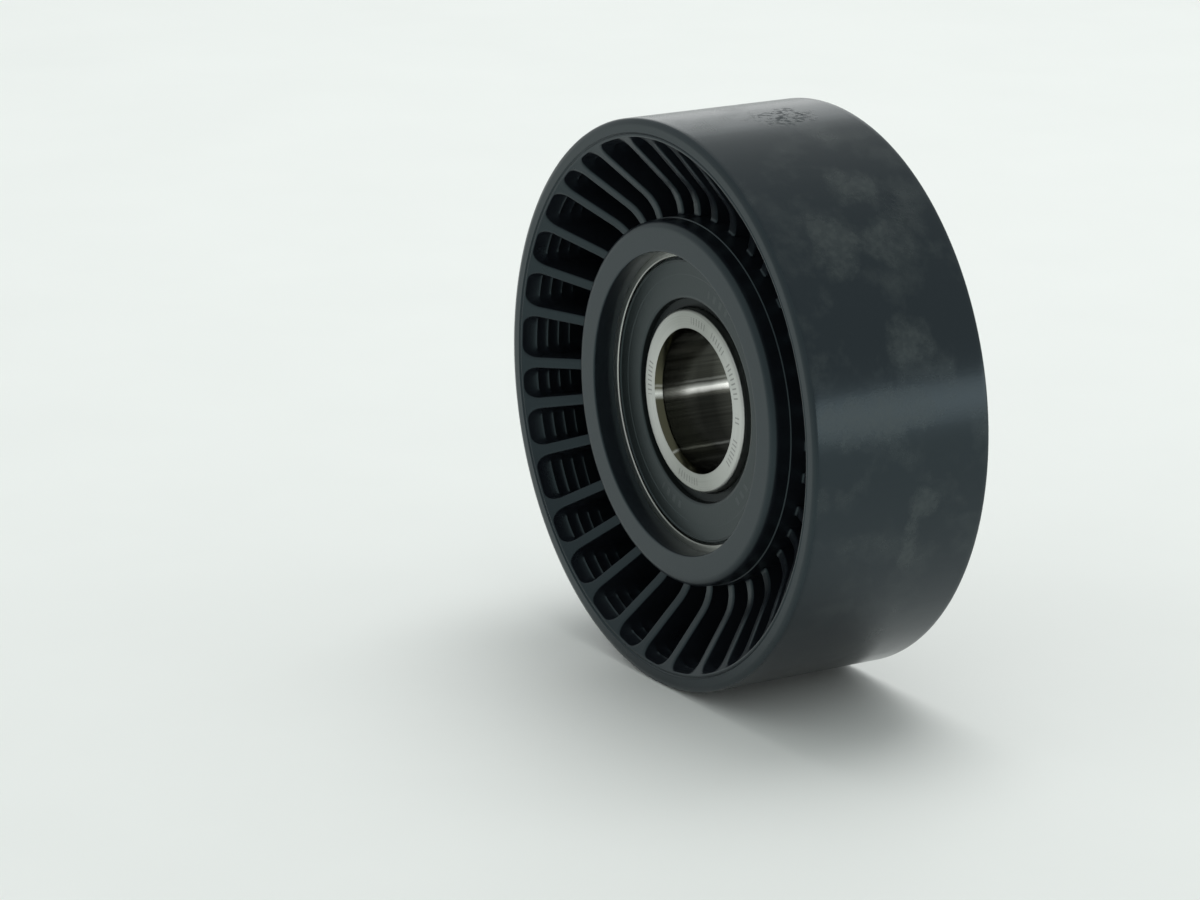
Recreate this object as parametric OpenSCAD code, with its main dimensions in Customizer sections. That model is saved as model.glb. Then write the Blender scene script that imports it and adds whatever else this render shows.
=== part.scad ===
// Belt tensioner idler: a ribbed moulded pulley on a sealed single-row ball bearing.
// The axis runs along Y and the front faces -Y. The origin is the centre of the pulley.

/* [Pulley] */
// Diameter of the running surface
pulley_d = 70; // [70:0.5:74]
// Width of the rim
pulley_w = 24.5; // [24.5:0.5:26.5]
// Thickness of the rim's wall
rim_wall = 2.3; // [2:0.1:2.4]
// Chamfer on the rim's outer edges
rim_chamfer = 0.45; // [0.2:0.05:0.8]
// Thickness of the web in the middle of the pulley
web_t = 2.5; // [1.5:0.1:4]

/* [Ribs] */
// Number of ribs on each side; rib_steps has one entry for each
rib_count = 33; // [33]
// Thickness of a rib
rib_t = 1.4; // [1:0.1:1.6]
// Angle of the first rib, clockwise from the top
first_rib_angle = -4.4; // [-10:0.1:10]
// How far one step changes the angle between two ribs
pitch_step = 0.7; // [0:0.1:0.7]
// Slope of the ribs' outer edge
rib_slope = 40.6; // [40:0.2:42]
// Depth of the ribs' flat inner end below the rim's face
rib_flat_depth = 6.75; // [6.5:0.05:6.9]
// Radius of the flare where a rib meets the rim
rib_flare = 1.4; // [0.8:0.1:1.6]

/* [Hub] */
// Radius of the hub's outer wall
hub_r = 22.5; // [22.2:0.1:22.6]
// Depth of the hub's face below the rim's face
hub_depth = 2.35; // [2:0.05:3.2]
// Radius on the hub's outer edge
hub_round = 0.9; // [0.5:0.1:1.2]
// Radius of the hole in the lip that covers the bearing's edge
lip_r = 18.6; // [17.8:0.05:18.8]
// Chamfer on the lip's edge
lip_chamfer = 0.15; // [0.1:0.05:0.9]

/* [Bearing] */
// Bore for the bolt
bore_d = 17; // [16.5:0.1:17]
// Outer diameter of the bearing
bearing_d = 40; // [40:0.1:40.4]
// Width of the bearing
bearing_w = 14; // [14:0.1:14.6]
// Number of balls
ball_count = 8; // [8]
// Diameter of a ball
ball_d = 6.747; // [6.6:0.001:6.8]
// Diameter of the circle that the balls' centres lie on
pitch_d = 28.5; // [28.4:0.05:28.6]
// Groove radius as a share of the ball's diameter
groove_share = 0.52; // [0.515:0.001:0.53]
// Clearance between a ball and each ring's groove
ball_clearance = 0.02; // [0.01:0.01:0.03]

/* [Cage] */
// Thickness of the cage's steel sheet
cage_t = 0.6; // [0.4:0.05:0.7]
// Width of the cage's ribbon, measured along a radius
cage_w = 2.5; // [2:0.1:2.7]
// Clearance between a ball and its pocket
pocket_clearance = 0.1; // [0.06:0.01:0.15]
// Radius of a rivet's shank
rivet_r = 0.55; // [0.4:0.05:0.6]

/* [Seals] */
// Radius of the inner ring's land under the seal's lip
land_r = 11.3; // [11.2:0.05:11.4]
// Clearance between the lip and the land
lip_clearance = 0.05; // [0.02:0.01:0.1]
// Thickness of the steel insert
insert_t = 0.4; // [0.3:0.05:0.4]

/* [Hidden] */
$fn = 96;

pulley_r = pulley_d / 2;
half_w = pulley_w / 2;
rim_inner_r = pulley_r - rim_wall;
rim_edge = 0.3;
rib_top = [rim_inner_r - 0.1, half_w - 0.3];
hub_z = half_w - hub_depth;
flat_z = half_w - rib_flat_depth;
blend_r = 5;
blend_steps = 5;
round_steps = 4;
pocket_inner_r = hub_r + 0.2;

// The ribs are unevenly spaced, which breaks up the pulley's whine.
// Each entry is how many steps wider or narrower than the mean a gap is, and they add up to 0.
rib_steps = [
    -2, -1, 0, -3, 1, 0, -1, 2, 0, -1, 1,
    -3, -2, 1, -1, 0, 2, 1, 0, 2, 1, 0,
    3, 0, -2, 2, 0, 1, 2, -2, -2, 3, -2
];
mean_pitch = 360 / rib_count;

bore_r = bore_d / 2;
bearing_r = bearing_d / 2;
bearing_z = bearing_w / 2;
pitch_r = pitch_d / 2;
ball_r = ball_d / 2;
groove_r = groove_share * ball_d;
inner_groove_centre = pitch_r - ball_r - ball_clearance + groove_r;
outer_groove_centre = pitch_r + ball_r + ball_clearance - groove_r;
ring_chamfer = 0.4;
bore_mouth = [0.45, 1];
inner_shoulder_r = 12.1;
inner_shoulder_z = 4.9;
outer_shoulder_r = 16.4;
seal_mouth_r = 17.4;
seal_groove_r = 17.9;
seal_groove_z = 5.65;
seal_neck_z = 6.4;
land_chamfer = 0.25;

// Two grooves round the outer ring key it into the moulding.
key_z = 3.4;
key_half_w = 0.8;
key_depth = 0.5;

insert_inner_r = 12.75;
insert_outer_r = 16.9;
insert_top_z = 6.45;
insert_flange = 0.4;
insert_flange_z = 5.85;

head_r = 0.95;
head_t = 0.35;

function total(list, n) = n == 0 ? 0 : list[n - 1] + total(list, n - 1);
function rib_angle(k) = first_rib_angle + k * mean_pitch + pitch_step * total(rib_steps, k);

// Points of an arc about [x, z] from one angle to another
function arc(x, z, r, from, to, steps) =
    [for (i = [0:steps]) let (a = from + (to - from) * i / steps) [x + r * cos(a), z + r * sin(a)]];

// A half outline, for z above 0, followed by its own mirror image below
function both_halves(half) =
    concat(half, [for (i = [len(half) - 1:-1:0]) [half[i][0], -half[i][1]]]);

// Turns a model whose axis is Z and whose front faces +Z into the part's own frame
module facing_front() {
    rotate([90, 0, 0]) children();
}

// The outside of the bearing, from its front corner to its middle
function bearing_outside() = [
    [bearing_r - ring_chamfer, bearing_z],
    [bearing_r, bearing_z - ring_chamfer],
    [bearing_r, key_z + key_half_w],
    [bearing_r - key_depth, key_z + key_half_w - key_depth / 2],
    [bearing_r - key_depth, key_z - key_half_w + key_depth / 2],
    [bearing_r, key_z - key_half_w]
];

// Front half of the pulley's outline: bearing seat, lip, hub face, rib edge, rim
function pulley_half() =
    let (
        // The rib's straight slope runs into its flat end through a round blend
        run = rib_top[1] - flat_z - blend_r * (1 - cos(rib_slope)),
        blend_x = rib_top[0] - run / tan(rib_slope) - blend_r * sin(rib_slope)
    )
    concat(
        [for (i = [len(bearing_outside()) - 1:-1:0]) bearing_outside()[i]],
        [
            [lip_r, bearing_z],
            [lip_r, hub_z - lip_chamfer],
            [lip_r + lip_chamfer, hub_z]
        ],
        arc(hub_r - hub_round, hub_z - hub_round, hub_round, 90, 0, round_steps),
        [[hub_r, flat_z]],
        arc(blend_x, flat_z + blend_r, blend_r, 270, 270 + rib_slope, blend_steps),
        [
            rib_top,
            [rim_inner_r + rim_edge, half_w],
            [pulley_r - rim_chamfer, half_w],
            [pulley_r, half_w - rim_chamfer]
        ]
    );

// Outline of one rib, along +X, with both sides flared where it meets the rim
module rib_outline() {
    flare = arc(rim_inner_r - rib_flare, rib_t / 2 + rib_flare, rib_flare, 270, 360, round_steps);
    side = concat([[pocket_inner_r - 1, rib_t / 2]], flare, [[pulley_r, rib_t / 2 + rib_flare]]);
    polygon(concat(side, [for (i = [len(side) - 1:-1:0]) [side[i][0], -side[i][1]]]));
}

// The pockets between the ribs of one side
module pockets() {
    translate([0, 0, web_t / 2]) linear_extrude(pulley_w) difference() {
        circle(rim_inner_r);
        circle(pocket_inner_r);
        for (k = [0:rib_count - 1]) rotate(90 - rib_angle(k)) rib_outline();
    }
}

module pulley_body() {
    color([0.09, 0.1, 0.1]) facing_front() difference() {
        rotate_extrude() polygon(both_halves(pulley_half()));
        pockets();
        mirror([0, 0, 1]) pockets();
    }
}

module bearing_outer_ring() {
    half = concat(
        [
            [outer_shoulder_r, seal_groove_z],
            [seal_groove_r, seal_groove_z],
            [seal_groove_r, seal_neck_z],
            [seal_mouth_r, seal_neck_z],
            [seal_mouth_r, bearing_z - 0.15],
            [seal_mouth_r + 0.15, bearing_z]
        ],
        bearing_outside()
    );
    color([0.72, 0.73, 0.74]) facing_front() rotate_extrude() difference() {
        polygon(both_halves(half));
        translate([outer_groove_centre, 0]) circle(groove_r);
    }
}

module bearing_inner_ring() {
    half = [
        [inner_shoulder_r, inner_shoulder_z - 0.2],
        [inner_shoulder_r - 0.2, inner_shoulder_z],
        [land_r, inner_shoulder_z],
        [land_r, bearing_z - land_chamfer],
        [land_r - land_chamfer, bearing_z],
        [bore_r + bore_mouth[0], bearing_z],
        [bore_r, bearing_z - bore_mouth[1]]
    ];
    color([0.8, 0.8, 0.78]) facing_front() rotate_extrude() difference() {
        polygon(both_halves(half));
        translate([inner_groove_centre, 0]) circle(groove_r);
    }
}

// One ball of the row; the first is at the top
module ball(n) {
    angle = 90 - (n - 1) * 360 / ball_count;
    color([0.85, 0.86, 0.87]) facing_front() rotate(angle) translate([pitch_r, 0, 0]) sphere(ball_r);
}

// A ring between two radii, from z = 0 up
module ribbon(height) {
    linear_extrude(height) difference() {
        circle(pitch_r + cage_w / 2);
        circle(pitch_r - cage_w / 2);
    }
}

module at_each_ball() {
    for (n = [0:ball_count - 1]) rotate(90 - n * 360 / ball_count) translate([pitch_r, 0, 0]) children();
}

// A cylinder along the radius, longer than the cage's ribbon is wide
module radial_cylinder(r) {
    rotate([0, 90, 0]) cylinder(h = 2 * cage_w, r = r, center = true);
}

// Half of the pressed cage: flats between the balls and a round pocket over each ball
module cage_half() {
    pocket_r = ball_r + pocket_clearance;
    difference() {
        intersection() {
            ribbon(pocket_r + cage_t + 1);
            union() {
                translate([0, 0, -1]) cylinder(h = 1 + cage_t, r = bearing_r);
                at_each_ball() radial_cylinder(pocket_r + cage_t);
            }
        }
        at_each_ball() radial_cylinder(pocket_r);
        rotate(180 / ball_count) at_each_ball() cylinder(h = 3 * cage_t, r = rivet_r, center = true);
    }
}

module cage_front_half() {
    color([0.66, 0.66, 0.64]) facing_front() cage_half();
}

module cage_rear_half() {
    color([0.66, 0.66, 0.64]) facing_front() mirror([0, 0, 1]) cage_half();
}

// Eight rivets, one between each two balls, with a head on both sides of the cage
module cage_rivets() {
    color([0.7, 0.7, 0.68]) facing_front() rotate(180 / ball_count) at_each_ball() union() {
        cylinder(h = 2 * cage_t, r = rivet_r, center = true);
        translate([0, 0, cage_t]) cylinder(h = head_t, r1 = head_r, r2 = rivet_r);
        mirror([0, 0, 1]) translate([0, 0, cage_t]) cylinder(h = head_t, r1 = head_r, r2 = rivet_r);
    }
}

// The seal's rubber: a bead in the outer ring's groove, a flat cover and a lip over the inner ring
module seal_lip() {
    rotate_extrude() polygon([
        [17.33, 6.95],
        [17.15, 6.95],
        [17.08, 6.82],
        [12.8, 6.82],
        [12.58, 6.74],
        [12.5, 6.12],
        [land_r + 0.25, 6.02],
        [land_r + lip_clearance, 5.8],
        [land_r + 0.2, 5.6],
        [12.6, 5.7],
        [insert_inner_r, insert_flange_z],
        [insert_inner_r, insert_top_z],
        [insert_outer_r, insert_top_z],
        [insert_outer_r, insert_top_z - insert_t],
        [17, 5.7],
        [seal_groove_r - 0.05, 5.7],
        [seal_groove_r - 0.05, seal_neck_z - 0.05],
        [17.33, seal_neck_z]
    ]);
}

// The seal's steel insert: a washer bent inwards along its inner edge
module seal_insert() {
    rotate_extrude() polygon([
        [insert_inner_r, insert_flange_z],
        [insert_inner_r + insert_flange, insert_flange_z],
        [insert_inner_r + insert_flange, insert_top_z - insert_t],
        [insert_outer_r, insert_top_z - insert_t],
        [insert_outer_r, insert_top_z],
        [insert_inner_r, insert_top_z]
    ]);
}

module front_seal_lip() {
    color([0.13, 0.15, 0.14]) facing_front() seal_lip();
}

module front_seal_insert() {
    color([0.6, 0.61, 0.62]) facing_front() seal_insert();
}

module rear_seal_lip() {
    color([0.13, 0.15, 0.14]) facing_front() mirror([0, 0, 1]) seal_lip();
}

module rear_seal_insert() {
    color([0.6, 0.61, 0.62]) facing_front() mirror([0, 0, 1]) seal_insert();
}

pulley_body();
bearing_outer_ring();
bearing_inner_ring();
ball(1);  // ball_1
ball(2);  // ball_2
ball(3);  // ball_3
ball(4);  // ball_4
ball(5);  // ball_5
ball(6);  // ball_6
ball(7);  // ball_7
ball(8);  // ball_8
cage_front_half();
cage_rear_half();
cage_rivets();
front_seal_lip();
front_seal_insert();
rear_seal_lip();
rear_seal_insert();
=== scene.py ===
"""Looks for the belt tensioner idler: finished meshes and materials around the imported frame.

The pulley's axis is Y and its front faces -Y. Its lengths are in millimetres, measured in a section:
r is the distance from the axis, and z the height above the middle plane towards the front. MM turns
them into metres, the unit of the camera, the lights and the noise. Angles round the pulley are in
degrees clockwise from the top, seen from the front.
"""
import math

import bpy
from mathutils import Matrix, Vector


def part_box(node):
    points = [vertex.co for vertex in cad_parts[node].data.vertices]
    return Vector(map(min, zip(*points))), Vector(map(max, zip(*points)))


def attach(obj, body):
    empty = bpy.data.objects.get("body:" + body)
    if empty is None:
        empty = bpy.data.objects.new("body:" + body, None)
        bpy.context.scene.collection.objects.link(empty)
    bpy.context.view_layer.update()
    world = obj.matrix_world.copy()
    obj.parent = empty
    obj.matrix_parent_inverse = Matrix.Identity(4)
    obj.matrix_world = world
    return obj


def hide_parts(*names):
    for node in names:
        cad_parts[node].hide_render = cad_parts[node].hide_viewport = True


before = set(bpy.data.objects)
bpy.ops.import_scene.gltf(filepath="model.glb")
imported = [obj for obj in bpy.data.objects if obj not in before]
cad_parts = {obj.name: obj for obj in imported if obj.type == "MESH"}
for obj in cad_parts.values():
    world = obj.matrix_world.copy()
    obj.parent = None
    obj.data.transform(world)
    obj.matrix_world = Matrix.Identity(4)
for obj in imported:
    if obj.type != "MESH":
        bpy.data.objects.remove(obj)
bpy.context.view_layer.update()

MM = 0.001
TURN = 360.0

# Main dimensions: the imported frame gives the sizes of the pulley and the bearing
BODY_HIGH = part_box("pulley_body")[1]
BEARING_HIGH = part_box("bearing_outer_ring")[1]
PULLEY_R = BODY_HIGH.x / MM
HALF_W = BODY_HIGH.y / MM
BEARING_R = BEARING_HIGH.x / MM
BEARING_Z = BEARING_HIGH.y / MM

# Ribs: the gap after each one is an even share of the turn plus its step, in units of PITCH_STEP degrees
RIB_STEPS = [
    -2, -1, 0, -3, 1, 0, -1, 2, 0, -1, 1,
    -3, -2, 1, -1, 0, 2, 1, 0, 2, 1, 0,
    3, 0, -2, 2, 0, 1, 2, -2, -2, 3, -2,
]
RIB_COUNT = len(RIB_STEPS)
FIRST_RIB = -4.4
PITCH_STEP = 0.7
RIB_HALF = 0.7  # half a rib's thickness
RIB_TOP_DEPTH = 0.2
RIB_SLOPE = math.radians(40.6)
RIB_FLAT_DEPTH = 6.75
RIB_BLEND = 5.0  # radius between a rib's slope and its flat
FLARE = 1.4  # radius between a rib's side and the rim

# Rim: lists of (inset from the running surface, depth below the front)
RIM_WALL = 2.3
RIM_IN = PULLEY_R - RIM_WALL
OUTER_EDGE = [
    (0.0, 0.48), (0.03, 0.36), (0.1, 0.25), (0.22, 0.16), (0.45, 0.07), (0.62, 0.02), (0.75, 0.0),
]
FACE_GROOVE = [
    (0.9, 0.0), (1.6, 0.0), (1.71, 0.0), (1.78, 0.17), (1.86, 0.2), (1.94, 0.12), (2.12, 0.1), (2.24, 0.13),
]

# Hub: its wall is wider at the foot, below a small step
HUB_Z = HALF_W - 2.35
HUB_STEP_Z = HALF_W - 4.75
HUB_DRAFT_R = 22.58  # where the ribs meet the hub
HUB_FOOT_R = 22.56
HUB_WALL_R = 22.4
HUB_FILLET = 0.35
HUB_ROUND = 0.9
LIP_R = 18.6
LIP_ROUND = 0.15

# Pockets between the ribs
FLOOR_Z = 1.25  # half the thickness of the web at their bottom
FLOOR_ROUND = 0.3
TOP_ROUND = 0.2  # radius along a rib's front edges
PACKED = 0.03  # spacing of the loops that wait under a sloping edge
DRAFT = math.tan(math.radians(0.7))
DRAFT_TURN = 1.4  # distance from the hub over which a rib's draft turns into the hub's
RIDGE_DEPTHS = (2.25, 3.85, 5.42, 7.0)
RIDGE_HEIGHT = 0.14

# Mesh steps: round a flare, across a rib, across a pocket, and round a ring
FLARE_STEPS = 5
ACROSS_RIB = 4
ACROSS_POCKET = 7
RING_SEGMENTS = 240

# Bearing
BORE_R = 8.5
MOUTH_R = BORE_R + 0.45  # outer edge of the chamfer at the bore's mouth
LAND_R = 11.3  # the part of the inner ring that the seal's lip runs on
LAND_Z = 4.9
INNER_SHOULDER_R = 12.1
OUTER_SHOULDER_R = 16.4
SHOULDER_Z = 3.4
BALL_D = 6.747
PITCH_R = 14.25
BALL_PLAY = 0.02
GROOVE_R = 0.52 * BALL_D
SEAL_GROOVE_R = 17.9
SEAL_GROOVE_Z = 5.65
SEAL_NECK_R = 17.33
SEAL_NECK_Z = 6.4


# ---------------------------------------------------------------- section geometry

def place(r, angle, z):
    """A point of the pulley from its section coordinates, in metres in the row's frame."""
    a = math.radians(angle)
    return Vector((r * math.sin(a), -z, r * math.cos(a))) * MM


def arc(r, z, radius, start, end, steps):
    """Points (r, z) of an arc about (r, z), angles in degrees from the +r direction."""
    points = []
    for i in range(steps + 1):
        a = math.radians(start + (end - start) * i / steps)
        points.append((r + radius * math.cos(a), z + radius * math.sin(a)))
    return points


def new_object(name, vertices, faces, smooth_angle=None):
    """A mesh object from metres and face indices. Edges sharper than smooth_angle stay sharp."""
    mesh = bpy.data.meshes.new(name)
    mesh.from_pydata(vertices, [], faces)
    mesh.validate()
    mesh.shade_smooth()
    if smooth_angle is not None:
        mesh.set_sharp_from_angle(angle=math.radians(smooth_angle))
    obj = bpy.data.objects.new(name, mesh)
    bpy.context.scene.collection.objects.link(obj)
    return obj


def revolve(name, section):
    """A closed ring: the section's (r, z) loop turned round the axis, in either order of its points."""
    area = sum(a[0] * b[1] - b[0] * a[1] for a, b in zip(section, section[1:] + section[:1]))
    if area < 0:
        section = section[::-1]
    vertices = []
    faces = []
    n = len(section)
    for j in range(RING_SEGMENTS):
        for r, z in section:
            vertices.append(place(r, TURN * j / RING_SEGMENTS, z))
    for j in range(RING_SEGMENTS):
        after = (j + 1) % RING_SEGMENTS
        for i in range(n):
            k = (i + 1) % n
            faces.append((j * n + i, j * n + k, after * n + k, after * n + i))
    return new_object(name, vertices, faces, 30)


# ---------------------------------------------------------------- pulley body

def rib_angles():
    """The angle of each rib's middle."""
    angles = []
    a = FIRST_RIB
    for step in RIB_STEPS:
        angles.append(a)
        a += TURN / RIB_COUNT + PITCH_STEP * step
    return angles


# The line of a rib's front edge, from the rim to the hub
FLAT_Z = HALF_W - RIB_FLAT_DEPTH
SLOPE_TOP_Z = HALF_W - RIB_TOP_DEPTH
BLEND_DROP = RIB_BLEND * (1 - math.cos(RIB_SLOPE))
SLOPE_END_R = RIM_IN - (SLOPE_TOP_Z - FLAT_Z - BLEND_DROP) / math.tan(RIB_SLOPE)
BLEND_END_R = SLOPE_END_R - RIB_BLEND * math.sin(RIB_SLOPE)
MID_SLOPE_R = 29.4


def rib_top(r):
    """Height of a rib's front edge at radius r: slope, round blend, flat, and a fillet to the hub."""
    if r >= SLOPE_END_R:
        return SLOPE_TOP_Z - (RIM_IN - r) * math.tan(RIB_SLOPE)
    if r >= BLEND_END_R:
        across = r - BLEND_END_R
        return FLAT_Z + RIB_BLEND - math.sqrt(RIB_BLEND ** 2 - across ** 2)
    near_hub = HUB_DRAFT_R + HUB_FILLET - r
    if near_hub > 0:
        return FLAT_Z + HUB_FILLET - math.sqrt(max(0.0, HUB_FILLET ** 2 - near_hub ** 2))
    return FLAT_Z


def side_rows():
    """One side of a rib as rows from the rim to the hub.

    A row is (r, distance from the rib's middle, direction out of the pocket as (r, lateral), radius of
    the rib's edge, share of the ridges' height).
    """
    rows = []
    for i in range(FLARE_STEPS + 1):
        phi = math.radians(90 * i / FLARE_STEPS)
        r = RIM_IN - FLARE + FLARE * math.cos(phi)
        lateral = RIB_HALF + FLARE - FLARE * math.sin(phi)
        rounding = TOP_ROUND * (i / FLARE_STEPS) ** 2
        rows.append((r, lateral, (math.cos(phi), -math.sin(phi)), rounding, math.cos(phi) ** 2))
    straight = [MID_SLOPE_R, SLOPE_END_R]
    blend = [BLEND_END_R + RIB_BLEND * math.sin(RIB_SLOPE * (1 - i / 4)) for i in range(1, 5)]
    fillet = [HUB_DRAFT_R + HUB_FILLET * f for f in (1.0, 0.5, 0.15)]
    for r in straight + blend + fillet:
        rows.append((r, RIB_HALF, (0.0, -1.0), TOP_ROUND, 0.0))
    rows.append((HUB_DRAFT_R, RIB_HALF, (-1.0, -1.0), 0.0, 0.0))
    return rows


SIDE = side_rows()
ROWS = len(SIDE) - 1


def rim_rows():
    """(r, z) rows from the middle of the running surface over the rim to the top of the ribs."""
    rows = [(PULLEY_R, 0.0), (PULLEY_R, 4.0), (PULLEY_R, 8.0), (PULLEY_R, HALF_W - 1.0)]
    rows += [(PULLEY_R - inset, HALF_W - depth) for inset, depth in OUTER_EDGE + FACE_GROOVE]
    return rows


def hub_rows():
    """(r, z) rows from the ribs' flat end over the hub to the middle of the bearing's seat."""
    rows = [(HUB_FOOT_R, HUB_STEP_Z - 0.25), (HUB_FOOT_R, HUB_STEP_Z - 0.07)]
    rows += [(HUB_WALL_R + 0.02, HUB_STEP_Z + 0.02), (HUB_WALL_R + 0.01, HUB_STEP_Z + 0.15)]
    rows.append((HUB_WALL_R, HUB_Z - HUB_ROUND - 0.1))
    rows += arc(HUB_WALL_R - HUB_ROUND, HUB_Z - HUB_ROUND, HUB_ROUND, 0, 90, 5)
    # Rows close beside the rounds keep the flat face's shading flat
    rows += [(21.3, HUB_Z), (LIP_R + 0.35, HUB_Z)]
    rows += arc(LIP_R + LIP_ROUND, HUB_Z - LIP_ROUND, LIP_ROUND, 90, 180, 3)
    rows += [(LIP_R, HUB_Z - 0.35), (LIP_R, BEARING_Z + 0.2), (LIP_R + 0.04, BEARING_Z)]
    rows += [(BEARING_R - 0.4, BEARING_Z), (BEARING_R, BEARING_Z - 0.4), (BEARING_R, 0.0)]
    return rows


def wall_levels():
    """Heights of the loops of a pocket's wall, as (z, share of the ridges' height)."""
    levels = []
    for depth in RIDGE_DEPTHS:
        z = HALF_W - depth
        levels += [(z + 0.22, 0.0), (z, 1.0), (z - 0.16, 0.0)]
    levels.append((FLOOR_Z + FLOOR_ROUND, 0.0))
    return levels


class BodyMesh:
    """The pulley body as one closed grid: columns round the axis, rows from the rim to the bearing seat."""

    def __init__(self):
        self.vertices = []
        self.faces = []
        self.angles = rib_angles()
        self.shared = {}

    def vertex(self, r, angle, z):
        """Adds a vertex and returns its index."""
        self.vertices.append(place(r, angle, z))
        return len(self.vertices) - 1

    def quad(self, a, b, c, d, front):
        """A face that looks outward in either half. front is 1 for the front half and -1 for the rear."""
        self.faces.append((d, c, b, a) if front > 0 else (a, b, c, d))

    def strip(self, upper, lower, front, closed=False):
        """Faces between two lines of as many vertices."""
        n = len(upper)
        for j in range(n if closed else n - 1):
            k = (j + 1) % n
            self.quad(upper[j], upper[k], lower[k], lower[j], front)

    def ring_angles(self, lateral, r):
        """Angles of every column round a ring where a rib is 2 * lateral wide."""
        half = math.degrees(math.asin(lateral / r))
        out = []
        for k, a in enumerate(self.angles):
            following = self.angles[(k + 1) % RIB_COUNT] + (TURN if k == RIB_COUNT - 1 else 0)
            out += [a - half + 2 * half * i / ACROSS_RIB for i in range(ACROSS_RIB)]
            gap = following - a - 2 * half
            out += [a + half + gap * i / ACROSS_POCKET for i in range(ACROSS_POCKET)]
        return out

    def ring(self, r, z, angles, front):
        """A full ring of vertices. The rings in the middle plane belong to both halves."""
        key = round(r, 4)
        if z == 0.0 and key in self.shared:
            return self.shared[key]
        row = [self.vertex(r, a, z * front) for a in angles]
        if z == 0.0:
            self.shared[key] = row
        return row

    def half(self, front):
        """The front or the rear half: rim, hub, ribs and pockets."""
        outer = self.ring_angles(SIDE[0][1], RIM_IN)
        inner = self.ring_angles(RIB_HALF, HUB_DRAFT_R)
        rims = [self.ring(r, z, outer, front) for r, z in rim_rows()]
        rims.append(self.ring(RIM_IN, SLOPE_TOP_Z, outer, front))
        for upper, lower in zip(rims, rims[1:]):
            self.strip(upper, lower, front, closed=True)
        hubs = [self.ring(HUB_DRAFT_R, FLAT_Z + HUB_FILLET, inner, front)]
        hubs += [self.ring(r, z, inner, front) for r, z in hub_rows()]
        for upper, lower in zip(hubs, hubs[1:]):
            self.strip(upper, lower, front, closed=True)
        sides = [self.rib(k, rims[-1], hubs[0], front) for k in range(RIB_COUNT)]
        for k in range(RIB_COUNT):
            self.pocket(k, sides, rims[-1], hubs[0], front)

    def rib(self, k, rim, hub, front):
        """A rib's front edge between the rim's last ring and the hub's first. Returns its two side lines."""
        first = k * (ACROSS_RIB + ACROSS_POCKET)
        n = len(rim)
        rows = [[rim[(first + i) % n] for i in range(ACROSS_RIB + 1)]]
        for r, lateral, normal, rounding, _ in SIDE[1:-1]:
            edge_r = r + rounding * normal[0]
            edge = lateral + rounding * normal[1]
            half = math.degrees(math.asin(edge / edge_r))
            row = []
            for i in range(ACROSS_RIB + 1):
                share = 2 * i / ACROSS_RIB - 1
                row.append(self.vertex(edge_r, self.angles[k] + half * share, rib_top(edge_r) * front))
            rows.append(row)
        rows.append([hub[(first + i) % n] for i in range(ACROSS_RIB + 1)])
        for upper, lower in zip(rows, rows[1:]):
            self.strip(upper, lower, front)
        return [row[0] for row in rows], [row[-1] for row in rows]

    def wall_point(self, m, z_outer, rounding_angle, ridge, offset):
        """(r, lateral, z) on a pocket's side at row m.

        z_outer is the loop's height where no edge lies lower, and rounding_angle how far the loop has
        come round the rib's edge. ridge is its share of the ridges' height, and offset how far it
        stands into the pocket.
        """
        r, lateral, normal, rounding, ridge_share = SIDE[m]
        turn = math.radians(rounding_angle)
        back = rounding * (1 - math.sin(turn))
        top = rib_top(r) - TOP_ROUND * (1 - math.cos(turn))
        z = min(top, z_outer)
        into = DRAFT * (top - z) + ridge * RIDGE_HEIGHT * ridge_share + offset
        radial = (back - into) * normal[0]
        if m < ROWS and normal[0] == 0.0:
            near_hub = max(0.0, 1 - (r - HUB_DRAFT_R) / DRAFT_TURN)
            radial = into * near_hub
        return r + radial, lateral + (back - into) * normal[1], z

    def pocket(self, k, sides, rim, hub, front):
        """Walls and floor of the pocket between rib k and the one after it."""
        first = k * (ACROSS_RIB + ACROSS_POCKET) + ACROSS_RIB
        n = len(rim)
        after = (k + 1) % RIB_COUNT
        a = self.angles[k]
        b = self.angles[after] + (TURN if after == 0 else 0)
        near = sides[k][1]
        far = sides[after][0]
        loop = [rim[(first + i) % n] for i in range(ACROSS_POCKET + 1)]
        loop += far[1:-1]
        loop += [hub[(first + i) % n] for i in range(ACROSS_POCKET, -1, -1)]
        loop += near[-2:0:-1]
        levels = [(SLOPE_TOP_Z, 45, 0.0, 0.0), (SLOPE_TOP_Z, 90, 0.0, 0.0)]
        levels += [(z, 90, ridge, 0.0) for z, ridge in wall_levels()]
        levels += [
            (FLOOR_Z + 0.3 * FLOOR_ROUND, 90, 0.0, 0.3 * FLOOR_ROUND),
            (FLOOR_Z, 90, 0.0, FLOOR_ROUND),
        ]
        for count, (z_outer, rounding_angle, ridge, offset) in enumerate(levels):
            points = []
            for m in range(ROWS + 1):
                # Loops that start above a sloping edge stay packed just under it
                allowed = rib_top(SIDE[m][0]) - TOP_ROUND - PACKED * count
                z = z_outer if rounding_angle < 90 else min(z_outer, allowed)
                points.append(self.wall_point(m, z, rounding_angle, ridge, offset))
            lower = self.outline(points, a, b, front)
            self.strip(loop, lower, front, closed=True)
            loop = lower
        self.floor(points, loop, a, b, front)

    def outline(self, points, a, b, front):
        """A closed loop round a pocket: rim side, far rib, hub side, near rib."""
        def near_angle(point):
            return a + math.degrees(math.asin(point[1] / point[0]))

        def far_angle(point):
            return b - math.degrees(math.asin(point[1] / point[0]))

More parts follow.
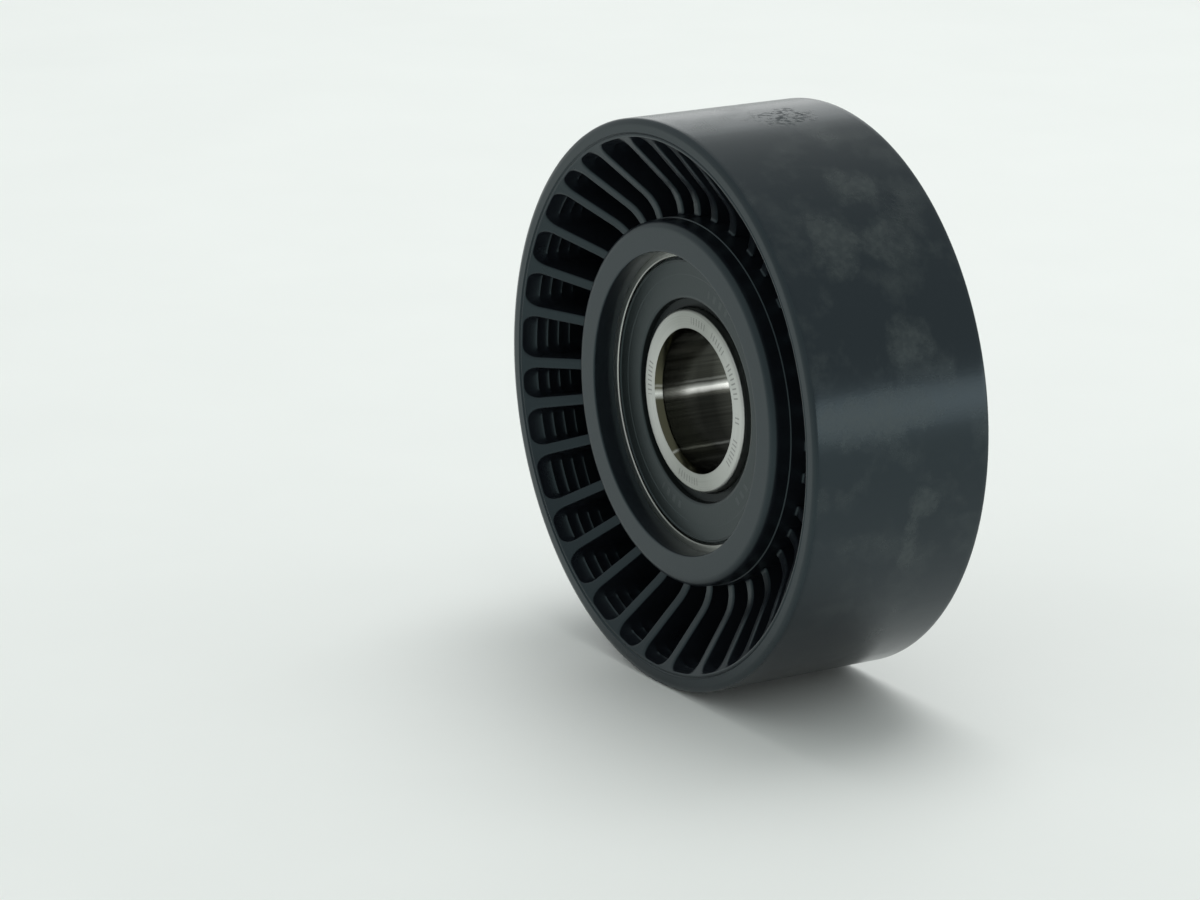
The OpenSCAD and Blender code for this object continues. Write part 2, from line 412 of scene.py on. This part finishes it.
        def across(point, reverse):
            low, high = near_angle(point), far_angle(point)
            steps = range(ACROSS_POCKET, -1, -1) if reverse else range(ACROSS_POCKET + 1)
            return [
                self.vertex(point[0], low + (high - low) * i / ACROSS_POCKET, point[2] * front)
                for i in steps
            ]

        loop = across(points[0], False)
        loop += [self.vertex(p[0], far_angle(p), p[2] * front) for p in points[1:-1]]
        loop += across(points[-1], True)
        loop += [self.vertex(p[0], near_angle(p), p[2] * front) for p in points[-2:0:-1]]
        return loop

    def floor(self, points, loop, a, b, front):
        """A grid that fills the last loop of a pocket."""
        n = len(loop)
        width = ACROSS_POCKET
        rows = [loop[:width + 1]]
        for m in range(1, ROWS):
            r, lateral, z = points[m]
            half = math.degrees(math.asin(lateral / r))
            row = [loop[n - m]]
            for i in range(1, width):
                angle = a + half + (b - a - 2 * half) * i / width
                row.append(self.vertex(r, angle, z * front))
            row.append(loop[width + m])
            rows.append(row)
        rows.append([loop[width + ROWS + width - i] for i in range(width + 1)])
        for upper, lower in zip(rows, rows[1:]):
            self.strip(upper, lower, front)


def make_body():
    """The moulded pulley, with a material of its own on the running surface."""
    mesh = BodyMesh()
    mesh.half(1)
    mesh.half(-1)
    obj = new_object("moulded_pulley", mesh.vertices, mesh.faces, 50)
    obj.data.materials.append(moulded_plastic())
    obj.data.materials.append(running_surface())
    for face in obj.data.polygons:
        centre = face.center
        if math.hypot(centre.x, centre.z) > (PULLEY_R - 0.05) * MM:
            face.material_index = 1
    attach(obj, "pulley")
    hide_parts("pulley_body")


# ---------------------------------------------------------------- bearing

def rounded(points, radius):
    """The same open line with a round at every corner between its ends."""
    steps = 3
    out = [points[0]]
    for before, corner, after in zip(points, points[1:], points[2:]):
        p, a, b = Vector(corner), Vector(before), Vector(after)
        u, v = (a - p), (b - p)
        cut = min(radius, 0.45 * u.length, 0.45 * v.length)
        start, end = p + u.normalized() * cut, p + v.normalized() * cut
        for i in range(steps + 1):
            t = i / steps
            q = start * (1 - t) ** 2 + p * 2 * t * (1 - t) + end * t ** 2
            out.append((q.x, q.y))
    out.append(points[-1])
    return out


def closed_in_middle(half):
    """A closed section from a front half whose first and last points lie in the middle plane."""
    return half + [(r, -z) for r, z in reversed(half[1:-1])]


def mirrored(section):
    """The same closed section on the rear side."""
    return [(r, -z) for r, z in reversed(section)]


def make_inner_ring():
    """The inner ring, with a darker material inside the bore."""
    centre = PITCH_R - BALL_D / 2 - BALL_PLAY + GROOVE_R
    edge = math.degrees(math.acos((centre - INNER_SHOULDER_R) / GROOVE_R))
    half = rounded([
        (BORE_R, 0.0), (BORE_R, BEARING_Z - 1.0), (MOUTH_R, BEARING_Z), (LAND_R - 0.25, BEARING_Z),
        (LAND_R, BEARING_Z - 0.25), (LAND_R, LAND_Z), (11.9, LAND_Z), (INNER_SHOULDER_R, 4.7),
        (INNER_SHOULDER_R, SHOULDER_Z),
    ], 0.12)
    half += arc(centre, 0.0, GROOVE_R, 180 - edge, 180, 10)[:-1]
    half.append((centre - GROOVE_R, 0.0))
    ring = revolve("ground_inner_ring", closed_in_middle(half))
    ring.data.materials.append(ground_steel("inner ring steel", RING_TICKS))
    ring.data.materials.append(bore_steel())
    for face in ring.data.polygons:
        if math.hypot(face.center.x, face.center.z) < (MOUTH_R - 0.02) * MM:
            face.material_index = 1
    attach(ring, "inner_ring")
    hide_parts("bearing_inner_ring")


def make_outer_ring():
    """The outer ring, with the grooves for the balls and the seals and one round its outside."""
    centre = PITCH_R + BALL_D / 2 + BALL_PLAY - GROOVE_R
    edge = math.degrees(math.acos((OUTER_SHOULDER_R - centre) / GROOVE_R))
    half = [(centre + GROOVE_R, 0.0)] + arc(centre, 0.0, GROOVE_R, 0, edge, 10)[1:]
    half += rounded([
        (OUTER_SHOULDER_R, SHOULDER_Z), (OUTER_SHOULDER_R, SEAL_GROOVE_Z), (SEAL_GROOVE_R, SEAL_GROOVE_Z),
        (SEAL_GROOVE_R, SEAL_NECK_Z), (17.62, SEAL_NECK_Z), (17.66, BEARING_Z - 0.1), (17.76, BEARING_Z),
        (BEARING_R - 0.4, BEARING_Z), (BEARING_R, BEARING_Z - 0.4), (BEARING_R, 4.2),
        (BEARING_R - 0.5, 3.95), (BEARING_R - 0.5, 2.85), (BEARING_R, 2.6), (BEARING_R, 0.0),
    ], 0.08)
    ring = revolve("ground_outer_ring", closed_in_middle(half))
    ring.data.materials.append(ground_steel("outer ring steel"))
    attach(ring, "pulley")
    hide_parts("bearing_outer_ring")


def make_seal(side):
    """Rubber of one seal: bead, ridge, flat cover, step and lip."""
    top = BEARING_Z
    section = [
        (SEAL_NECK_R, SEAL_NECK_Z), (SEAL_NECK_R, top - 0.05), (17.15, top - 0.05), (17.08, top - 0.18),
        (15.55, top - 0.18), (15.45, top - 0.21), (12.95, top - 0.21), (12.6, top - 0.3),
        (12.5, top - 1.05), (LAND_R + 0.25, top - 1.14), (LAND_R + 0.05, top - 1.28), (LAND_R + 0.2, 5.6),
        (12.6, 5.7), (12.75, 5.85), (12.75, 6.45), (16.9, 6.45), (16.9, 6.05), (17.0, 5.7),
        (SEAL_GROOVE_R - 0.05, 5.7), (SEAL_GROOVE_R - 0.05, SEAL_NECK_Z - 0.05), (SEAL_NECK_R, SEAL_NECK_Z),
    ]
    section = rounded(section, 0.06)[:-1]
    if side == "rear":
        section = mirrored(section)
    seal = revolve(side + "_seal_rubber", section)
    seal.data.materials.append(seal_rubber())
    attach(seal, "pulley")
    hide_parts(side + "_seal_lip")


# ---------------------------------------------------------------- materials

# Plain marks that say nothing: groups of radial bars (from, to) in degrees, from -180 to 180. pitch is in
# degrees, width is a bar's share of it, and inner and outer are radii.
RING_TICKS = dict(
    groups=((-3, 16), (24, 44), (50, 78), (86, 94), (104, 128), (172, 180), (-180, -160), (-98, -72)),
    pitch=3.4, width=0.32, inner=9.55, outer=10.45,
)
SEAL_BARS = dict(
    groups=((12, 33), (122, 139), (-168, -150)),
    pitch=5.6, width=0.4, inner=13.7, outer=14.7,
)

# Tints of the plastic's reflections, and the scale of its fine grain
PLASTIC_TINT = (0.68, 0.92, 0.97, 1.0)
RUNNING_TINT = (0.68, 0.9, 1.0, 1.0)
GRAIN = 5200.0

# Painted highlights along the bore, bright streaks in its base colour: angle in degrees, half width in
# radians, strength
PAINTED_BORE_HIGHLIGHTS = ((-96.5, 0.085, 1.0), (-90.0, 0.03, 0.25), (-148.0, 0.035, 0.4))

# Marks from handling on the running surface: angle, mm behind the middle plane, and half the size of both
CHALKY = (
    (34, 3, 5, 3), (47, 4, 5, 3.5), (68, 2, 5, 3), (81, -4, 5, 8), (99, 3, 3, 2), (108, 2, 6, 1.2),
    (45, -4, 7, 3),
)
SCUFFED = ((5, 3, 5, 4), (42, 7, 5, 2))


class Nodes:
    """A material's node tree with short calls for the nodes used here."""

    def __init__(self, name):
        self.material = bpy.data.materials.new(name)
        self.material.use_nodes = True
        self.tree = self.material.node_tree
        self.shader = self.tree.nodes["Principled BSDF"]
        self.position = self.node("ShaderNodeTexCoord").outputs["Object"]

    def node(self, kind, **settings):
        """A new node with some of its own settings."""
        node = self.tree.nodes.new(kind)
        for key, value in settings.items():
            setattr(node, key, value)
        return node

    def link(self, source, target):
        """Joins a socket to target, or gives target a plain value."""
        if isinstance(source, bpy.types.NodeSocket):
            self.tree.links.new(source, target)
        else:
            target.default_value = source

    def math(self, operation, a, b=0.0):
        """The result of a Math node."""
        node = self.node("ShaderNodeMath", operation=operation)
        self.link(a, node.inputs[0])
        self.link(b, node.inputs[1])
        return node.outputs[0]

    def noise(self, scale, detail=3.0, vector=None, roughness=0.5):
        """Noise from 0 to 1, on the object's own coordinates unless vector is given."""
        node = self.node("ShaderNodeTexNoise")
        self.link(vector or self.position, node.inputs["Vector"])
        node.inputs["Scale"].default_value = scale
        node.inputs["Detail"].default_value = detail
        node.inputs["Roughness"].default_value = roughness
        return node.outputs["Fac"]

    def spread(self, value, low, high, to_low, to_high):
        """value moved from the range low to high to another range, and held within it."""
        node = self.node("ShaderNodeMapRange")
        self.link(value, node.inputs["Value"])
        for name, number in (("From Min", low), ("From Max", high), ("To Min", to_low), ("To Max", to_high)):
            self.link(number, node.inputs[name])
        return node.outputs["Result"]

    def mix(self, share, a, b):
        """Colour a where share is 0, and b where it is 1."""
        node = self.node("ShaderNodeMix", data_type="RGBA")
        self.link(share, node.inputs["Factor"])
        self.link(a, node.inputs["A"])
        self.link(b, node.inputs["B"])
        return node.outputs["Result"]

    def bump(self, height, distance):
        """A normal for a relief of the given height, in metres."""
        node = self.node("ShaderNodeBump")
        self.link(height, node.inputs["Height"])
        node.inputs["Distance"].default_value = distance
        node.inputs["Strength"].default_value = 1.0
        return node.outputs["Normal"]

    def set(self, **sockets):
        """Sets the shader's sockets, named with _ for a space."""
        for name, value in sockets.items():
            self.link(value, self.shader.inputs[name.replace("_", " ")])

    def polar(self):
        """Radius in millimetres and angle in radians round the pulley's axis, and y in metres."""
        parts = self.node("ShaderNodeSeparateXYZ")
        self.link(self.position, parts.inputs[0])
        x, z = parts.outputs["X"], parts.outputs["Z"]
        squares = self.math("ADD", self.math("MULTIPLY", x, x), self.math("MULTIPLY", z, z))
        radius = self.math("MULTIPLY", self.math("SQRT", squares), 1 / MM)
        return radius, self.math("ARCTAN2", x, z), parts.outputs["Y"]

    def inside(self, value, low, high):
        """1 between two limits, 0 outside them."""
        above = self.math("GREATER_THAN", value, low)
        return self.math("MULTIPLY", above, self.math("LESS_THAN", value, high))

    def peak(self, value, centre, half_width):
        """1 at the centre, falling to 0 on both sides."""
        distance = self.math("ABSOLUTE", self.math("SUBTRACT", value, centre))
        return self.spread(distance, 0.0, half_width, 1.0, 0.0)

    def bars(self, groups, pitch, width, inner, outer):
        """1 on radial bars between two radii, in groups of angles, 0 elsewhere."""
        radius, angle, _ = self.polar()
        degrees = self.math("DEGREES", angle)
        bar = self.math("LESS_THAN", self.math("FRACT", self.math("DIVIDE", degrees, pitch)), width)
        shown = 0.0
        for low, high in groups:
            shown = self.math("ADD", shown, self.inside(degrees, low, high))
        return self.math("MULTIPLY", self.math("MULTIPLY", bar, shown), self.inside(radius, inner, outer))

    def marks(self, places, edge):
        """Soft marks on the pulley's outside. edge, from 0 to 1, breaks up their outlines."""
        _, angle, y = self.polar()
        degrees = self.math("DEGREES", angle)
        ragged = self.spread(edge, 0.3, 0.7, -1.0, 1.0)
        total = 0.0
        for at_angle, behind, half_angle, half_length in places:
            a = self.math("DIVIDE", self.math("SUBTRACT", degrees, at_angle), half_angle)
            b = self.math("DIVIDE", self.math("SUBTRACT", y, behind * MM), half_length * MM)
            squares = self.math("ADD", self.math("MULTIPLY", a, a), self.math("MULTIPLY", b, b))
            mark = self.spread(self.math("ADD", squares, ragged), 0.0, 1.6, 1.0, 0.0)
            total = self.math("ADD", total, mark)
        return self.math("MINIMUM", total, 1.0)

    def cylinder_vector(self, radial, around, along):
        """Coordinates for a noise stretched differently along the radius, round the axis and along it."""
        radius, angle, y = self.polar()
        node = self.node("ShaderNodeCombineXYZ")
        self.link(self.math("MULTIPLY", radius, radial), node.inputs[0])
        self.link(self.math("MULTIPLY", angle, around), node.inputs[1])
        self.link(self.math("MULTIPLY", y, along / MM), node.inputs[2])
        return node.outputs[0]


def gray(value, green=0.0, blue=0.0):
    """A colour near grey: value, with a little more or less green and blue."""
    return (value, value + green, value + blue, 1.0)


def moulded_plastic():
    """Black plastic with a fine grain and a faint cloudiness."""
    n = Nodes("moulded plastic")
    cloud = n.noise(120.0, 3.0)
    grain = n.noise(GRAIN, 2.0)
    cloudy = n.spread(cloud, 0.35, 0.65, 0.0, 1.0)
    n.set(
        Base_Color=n.mix(cloudy, gray(0.008, 0.0015, 0.005), gray(0.011, 0.002, 0.006)),
        Roughness=n.spread(cloud, 0.3, 0.7, 0.27, 0.33),
        Specular_Tint=PLASTIC_TINT,
        Normal=n.bump(grain, 0.000008),
    )
    return n.material


def running_surface():
    """The same plastic with faint mottling, chalky marks and a few scuffs from handling."""
    n = Nodes("running surface")
    mottling = n.spread(n.noise(1.0, 5.0, n.cylinder_vector(0.0, 5.0, 0.16), 0.62), 0.5, 0.7, 0.0, 0.45)
    edge = n.noise(260.0, 5.0, roughness=0.65)
    speck = n.spread(n.noise(1300.0, 3.0), 0.45, 0.62, 0.0, 1.0)
    chalk = n.math("MULTIPLY", n.marks(CHALKY, edge), n.spread(speck, 0.0, 1.0, 0.5, 0.75))
    chalky = n.math("MAXIMUM", mottling, chalk)
    scuff = n.math("MULTIPLY", n.marks(SCUFFED, edge), speck)
    grain = n.noise(GRAIN, 2.0)
    n.set(
        Base_Color=n.mix(chalky, gray(0.005, 0.001, 0.003), gray(0.040, 0.005, 0.003)),
        Roughness=n.math("ADD", n.spread(chalky, 0.0, 1.0, 0.2, 0.4), n.math("MULTIPLY", scuff, 0.35)),
        Specular_Tint=RUNNING_TINT,
        Normal=n.bump(n.math("ADD", n.math("MULTIPLY", grain, 0.3), scuff), 0.00003),
    )
    return n.material


def ground_steel(name, marks=None):
    """Pale steel with faint grinding lines, and a painted reflection: lighter on the left and right of the
    ring, darker at its top and bottom. marks are settings for Nodes.bars.
    """
    n = Nodes(name)
    lines = n.noise(1.0, 2.0, n.cylinder_vector(9.0, 0.8, 9.0))
    _, angle, _ = n.polar()
    # Painted reflection: the base colour is lighter where the ring faces left and right and darker at top and
    # bottom, standing in for the bands of light on turned steel
    painted_side_sheen = n.math("ABSOLUTE", n.math("SINE", angle))
    lines_and_painted_sheen = n.math("ADD", n.spread(lines, 0.3, 0.7, -0.15, 0.15), n.spread(painted_side_sheen, 0.3, 1.0, 0.15, 0.85))
    color = n.mix(lines_and_painted_sheen, gray(0.28, 0.012, -0.01), gray(0.56, 0.012, -0.01))
    if marks:
        color = n.mix(n.math("MULTIPLY", n.bars(**marks), 0.6), color, gray(0.12))
    n.set(
        Base_Color=color,
        Metallic=1.0,
        Roughness=n.spread(lines, 0.3, 0.7, 0.28, 0.40),
        Normal=n.bump(lines, 0.000008),
    )
    return n.material


def bore_steel():
    """Steel painted dark for the shade inside the bore and lighter towards its top and its mouths as painted
    light, with lines and painted bright highlights along the axis, and an olive chamfer at each mouth.
    """
    n = Nodes("bore steel")
    lines = n.noise(1.0, 3.0, n.cylinder_vector(0.0, 17.0, 0.04), 0.6)
    _, angle, y = n.polar()
    # Painted light and shade: the base colour is near black deep in the bore, lighter towards its top and up
    # to 4.5 times lighter towards each mouth
    upper = n.spread(n.math("COSINE", angle), -0.3, 0.5, 0.02, 0.05)
    painted_light_near_mouth = n.spread(n.math("ABSOLUTE", y), 0.001, 0.006, 1.0, 4.5)
    lines_and_painted_light = n.math("MULTIPLY", n.math("MULTIPLY", upper, painted_light_near_mouth), n.spread(lines, 0.35, 0.68, 0.7, 1.4))
    dark = n.mix(lines_and_painted_light, gray(0.0), gray(1.0, 0.02, -0.12))
    # Painted highlights: bright streaks along the axis in the base colour, stronger towards each mouth
    wavy = n.math("ADD", angle, n.math("MULTIPLY", n.noise(700.0, 2.0), 0.03))
    painted_highlights = 0.0
    for at_angle, half_width, strength in PAINTED_BORE_HIGHLIGHTS:
        one_painted_highlight = n.math("MULTIPLY", n.peak(wavy, math.radians(at_angle), half_width), strength)
        painted_highlights = n.math("ADD", painted_highlights, one_painted_highlight)
    painted_highlights = n.math("MULTIPLY", painted_highlights, n.spread(n.math("ABSOLUTE", y), 0.001, 0.006, 0.45, 1.0))
    mouth = n.math("GREATER_THAN", n.math("ABSOLUTE", y), (BEARING_Z - 0.95) * MM)
    plain = n.mix(mouth, dark, (0.085, 0.083, 0.055, 1.0))
    n.set(
        Base_Color=n.mix(n.math("MINIMUM", painted_highlights, 1.0), plain, gray(0.85, 0.01, -0.03)),
        Metallic=1.0,
        Roughness=n.spread(lines, 0.3, 0.7, 0.14, 0.22),
        Normal=n.bump(lines, 0.000004),
    )
    return n.material


def seal_rubber():
    """Dull dark rubber with plain raised bars, and less shine in the recess beside the lip: painted shade for
    that recess.
    """
    n = Nodes("seal rubber")
    grain = n.noise(3500.0, 3.0)
    bars = n.bars(**SEAL_BARS)
    radius, _, _ = n.polar()
    n.set(
        Base_Color=n.mix(n.math("MULTIPLY", bars, 0.8), gray(0.010, 0.002, 0.002), gray(0.035, 0.004, 0.004)),
        Roughness=0.33,
        # Painted shade: less shine inside r 12.5 mm, so the recess beside the lip reads dark
        Specular_IOR_Level=n.spread(radius, 12.5, 12.75, 0.12, 0.5),
        Specular_Tint=PLASTIC_TINT,
        Normal=n.bump(n.math("ADD", n.math("MULTIPLY", grain, 0.3), bars), 0.00003),
    )
    return n.material


def plain_steel(name, value, roughness):
    """Faintly mottled steel of one brightness, for the pieces inside the bearing."""
    n = Nodes(name)
    mottle = n.noise(900.0, 3.0)
    n.set(
        Base_Color=n.mix(mottle, gray(value * 0.85), gray(value)),
        Metallic=1.0,
        Roughness=n.spread(mottle, 0.3, 0.7, roughness, roughness + 0.1),
        Normal=n.bump(n.noise(4000.0), 0.000004),
    )
    return n.material


def dress_cad_nodes():
    """Materials for the CAD nodes that stay as they are, inside the bearing."""
    balls = plain_steel("polished balls", 0.8, 0.08)
    cage = plain_steel("pressed cage", 0.55, 0.3)
    rivets = plain_steel("rivets", 0.6, 0.28)
    insert = plain_steel("seal insert", 0.5, 0.35)
    for name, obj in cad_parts.items():
        if name.startswith("ball_"):
            material = balls
        elif name == "cage_rivets":
            material = rivets
        elif name.startswith("cage_"):
            material = cage
        elif name.endswith("_insert"):
            material = insert
        else:
            continue
        obj.data.materials.clear()
        obj.data.materials.append(material)


# ---------------------------------------------------------------- stage

def aim(obj, location, target):
    """Places obj and points its -Z at target, with its +Y as near to up as it can be."""
    forward = (Vector(target) - Vector(location)).normalized()
    obj.location = location
    obj.rotation_euler = forward.to_track_quat("-Z", "Y").to_euler()


def make_camera():
    """A long lens to the right of the pulley, in front of it and a little above."""
    data = bpy.data.cameras.new("camera")
    data.lens = 134.9
    data.sensor_width = 36.0
    data.clip_start = 0.01
    camera = bpy.data.objects.new("camera", data)
    bpy.context.scene.collection.objects.link(camera)
    eye = Vector((0.4464, -0.2863, 0.1429))
    aim(camera, eye, eye + Vector((-0.8264, 0.4928, -0.2724)))
    bpy.context.scene.camera = camera


def area_light(name, location, target, size, energy, mirrored_in=True):
    """A rectangular light. One that isn't mirrored in glossy surfaces stands for a much wider soft source."""
    data = bpy.data.lights.new(name, "AREA")
    data.shape = "RECTANGLE"
    data.size, data.size_y = size
    data.energy = energy
    light = bpy.data.objects.new(name, data)
    light.visible_glossy = mirrored_in
    bpy.context.scene.collection.objects.link(light)
    aim(light, location, target)


def make_stage():
    """A pale floor under the rim, an even sky and three soft lights."""
    half = 3.0
    low = -PULLEY_R * MM
    corners = [(-half, -half, low), (half, -half, low), (half, half, low), (-half, half, low)]
    floor = new_object("floor", corners, [(0, 1, 2, 3)])
    n = Nodes("pale floor")
    mottle = n.noise(30.0, 4.0)
    n.set(Base_Color=n.mix(mottle, (0.82, 0.84, 0.82, 1.0), (0.86, 0.88, 0.86, 1.0)), Roughness=0.6)
    floor.data.materials.append(n.material)
    world = bpy.data.worlds.new("studio")
    world.use_nodes = True
    background = world.node_tree.nodes["Background"]
    background.inputs["Color"].default_value = (0.95, 1.0, 0.985, 1.0)
    background.inputs["Strength"].default_value = 0.6
    bpy.context.scene.world = world
    area_light("overhead", (-0.14, 0.2, 0.85), (0.0, 0.0, 0.0), (0.6, 0.6), 3.6, mirrored_in=False)
    area_light("low panel", (0.58, 0.38, 0.025), (0.0, 0.0, 0.0), (0.8, 0.15), 0.62)
    area_light("backdrop", (-0.8, 0.48, 0.3), (0.0, 0.0, 0.0), (1.2, 0.5), 1.1)
    bpy.context.scene.view_settings.view_transform = "Standard"


make_camera()
make_stage()
make_body()
make_inner_ring()
make_outer_ring()
make_seal("front")
make_seal("rear")
dress_cad_nodes()
